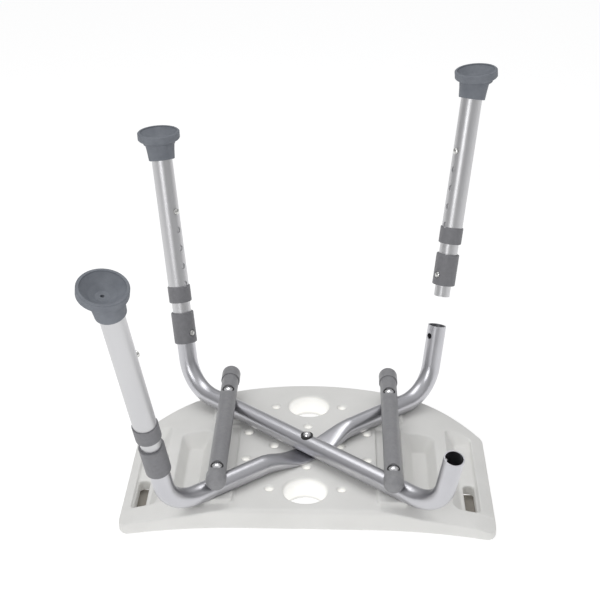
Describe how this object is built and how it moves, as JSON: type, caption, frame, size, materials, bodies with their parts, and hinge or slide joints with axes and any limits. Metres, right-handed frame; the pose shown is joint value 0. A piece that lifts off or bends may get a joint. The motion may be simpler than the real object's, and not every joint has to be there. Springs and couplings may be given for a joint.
{
  "type": "shower stool",
  "caption": "Upside-down shower stool: arched white seat, crossed aluminium tube frame, height-adjustable legs with rubber feet, one leg drawn off its stub.",
  "frame": {"origin": "on the flat middle of the sitting face, on the centre bolt's axis; the stool lies upside down", "axes": "+Z from the sitting face through the frame towards the feet, +X along the seat, +Y towards the seat's curved edge"},
  "size_m": [0.4904, 0.5624, 0.4921],
  "materials": {
    "seat_plastic": "moulded white, slightly pebbled",
    "tube_aluminium": "satin anodised",
    "leg_aluminium": "satin anodised",
    "grey_plastic": "moulded mid grey",
    "sleeve_plastic": "moulded dark grey",
    "foot_rubber": "matte blue-grey",
    "chrome_steel": "polished",
    "button_steel": "polished dome",
    "spring_steel": "plain spring steel",
    "washer_black": "black",
    "insert_brass": "turned"
  },
  "bodies": {
    "stool": {"centre_bolt": "chrome_steel", "centre_nut": "chrome_steel", "centre_washer": "washer_black", "crossbar_left": "grey_plastic", "crossbar_left_cap_back": "grey_plastic", "crossbar_left_cap_front": "grey_plastic", "crossbar_right": "grey_plastic", "crossbar_right_cap_back": "grey_plastic", "crossbar_right_cap_front": "grey_plastic", "crossbar_screws": "chrome_steel", "crossbar_washers": "washer_black", "frame_tube_a": "tube_aluminium", "frame_tube_b": "tube_aluminium", "seat": "seat_plastic", "seat_inserts": "insert_brass"},
    "leg_back_left": {"inner_tube_back_left": "leg_aluminium", "joint_sleeve_back_left": "sleeve_plastic", "joint_spring_back_left": "spring_steel", "height_spring_back_left": "spring_steel"},
    "joint_button_back_left": {"joint_button_back_left": "button_steel"},
    "height_button_back_left": {"height_button_back_left": "button_steel"},
    "foot_section_back_left": {"outer_tube_back_left": "leg_aluminium", "height_collar_back_left": "sleeve_plastic", "rubber_foot_back_left": "foot_rubber"},
    "leg_front_left": {"inner_tube_front_left": "leg_aluminium", "joint_sleeve_front_left": "sleeve_plastic", "joint_spring_front_left": "spring_steel", "height_spring_front_left": "spring_steel"},
    "joint_button_front_left": {"joint_button_front_left": "button_steel"},
    "height_button_front_left": {"height_button_front_left": "button_steel"},
    "foot_section_front_left": {"outer_tube_front_left": "leg_aluminium", "height_collar_front_left": "sleeve_plastic", "rubber_foot_front_left": "foot_rubber"},
    "leg_back_right": {"inner_tube_back_right": "leg_aluminium", "joint_sleeve_back_right": "sleeve_plastic", "joint_spring_back_right": "spring_steel", "height_spring_back_right": "spring_steel"},
    "joint_button_back_right": {"joint_button_back_right": "button_steel"},
    "height_button_back_right": {"height_button_back_right": "button_steel"},
    "foot_section_back_right": {"outer_tube_back_right": "leg_aluminium", "height_collar_back_right": "sleeve_plastic", "rubber_foot_back_right": "foot_rubber"}
  },
  "joints": [
    {"name": "back_left_leg_pull_off", "type": "slide", "parent": "stool", "child": "leg_back_left", "axis": [-0.1212, 0.2729, 0.9544], "range_m": [0, 0.1], "deforming": ["joint_button_back_left", "joint_spring_back_left"]},
    {"name": "back_left_height_slide", "type": "slide", "parent": "leg_back_left", "child": "foot_section_back_left", "axis": [-0.1212, 0.2729, 0.9544], "range_m": [0, 0.1016], "deforming": ["height_button_back_left", "height_spring_back_left"]},
    {"name": "back_left_joint_button_press", "type": "slide", "parent": "leg_back_left", "child": "joint_button_back_left", "axis": [-0.7552, 0.5986, -0.2671], "range_m": [0, 0.006], "stiffness_N_per_m": 400, "springref_m": -0.002, "deforming": ["joint_spring_back_left"]},
    {"name": "back_left_height_button_press", "type": "slide", "parent": "leg_back_left", "child": "height_button_back_left", "axis": [-0.7552, 0.5986, -0.2671], "range_m": [0, 0.006], "stiffness_N_per_m": 400, "springref_m": -0.002, "deforming": ["height_spring_back_left"]},
    {"name": "front_left_leg_pull_off", "type": "slide", "parent": "stool", "child": "leg_front_left", "axis": [-0.1212, -0.2729, 0.9544], "range_m": [0, 0.1], "deforming": ["joint_button_front_left", "joint_spring_front_left"]},
    {"name": "front_left_height_slide", "type": "slide", "parent": "leg_front_left", "child": "foot_section_front_left", "axis": [-0.1212, -0.2729, 0.9544], "range_m": [0, 0.1016], "deforming": ["height_button_front_left", "height_spring_front_left"]},
    {"name": "front_left_joint_button_press", "type": "slide", "parent": "leg_front_left", "child": "joint_button_front_left", "axis": [-0.7552, -0.5986, -0.2671], "range_m": [0, 0.006], "stiffness_N_per_m": 400, "springref_m": -0.002, "deforming": ["joint_spring_front_left"]},
    {"name": "front_left_height_button_press", "type": "slide", "parent": "leg_front_left", "child": "height_button_front_left", "axis": [-0.7552, -0.5986, -0.2671], "range_m": [0, 0.006], "stiffness_N_per_m": 400, "springref_m": -0.002, "deforming": ["height_spring_front_left"]},
    {"name": "back_right_leg_pull_off", "type": "slide", "parent": "stool", "child": "leg_back_right", "axis": [0.1212, 0.2729, 0.9544], "range_m": [-0.0875, 0.0125], "deforming": ["joint_button_back_right", "joint_spring_back_right"]},
    {"name": "back_right_height_slide", "type": "slide", "parent": "leg_back_right", "child": "foot_section_back_right", "axis": [0.1212, 0.2729, 0.9544], "range_m": [0, 0.1016], "deforming": ["height_button_back_right", "height_spring_back_right"]},
    {"name": "back_right_joint_button_press", "type": "slide", "parent": "leg_back_right", "child": "joint_button_back_right", "axis": [0.7552, 0.5986, -0.2671], "range_m": [0, 0.006], "stiffness_N_per_m": 400, "springref_m": -0.002, "deforming": ["joint_spring_back_right"]},
    {"name": "back_right_height_button_press", "type": "slide", "parent": "leg_back_right", "child": "height_button_back_right", "axis": [0.7552, 0.5986, -0.2671], "range_m": [0, 0.006], "stiffness_N_per_m": 400, "springref_m": -0.002, "deforming": ["height_spring_back_right"]}
  ]
}
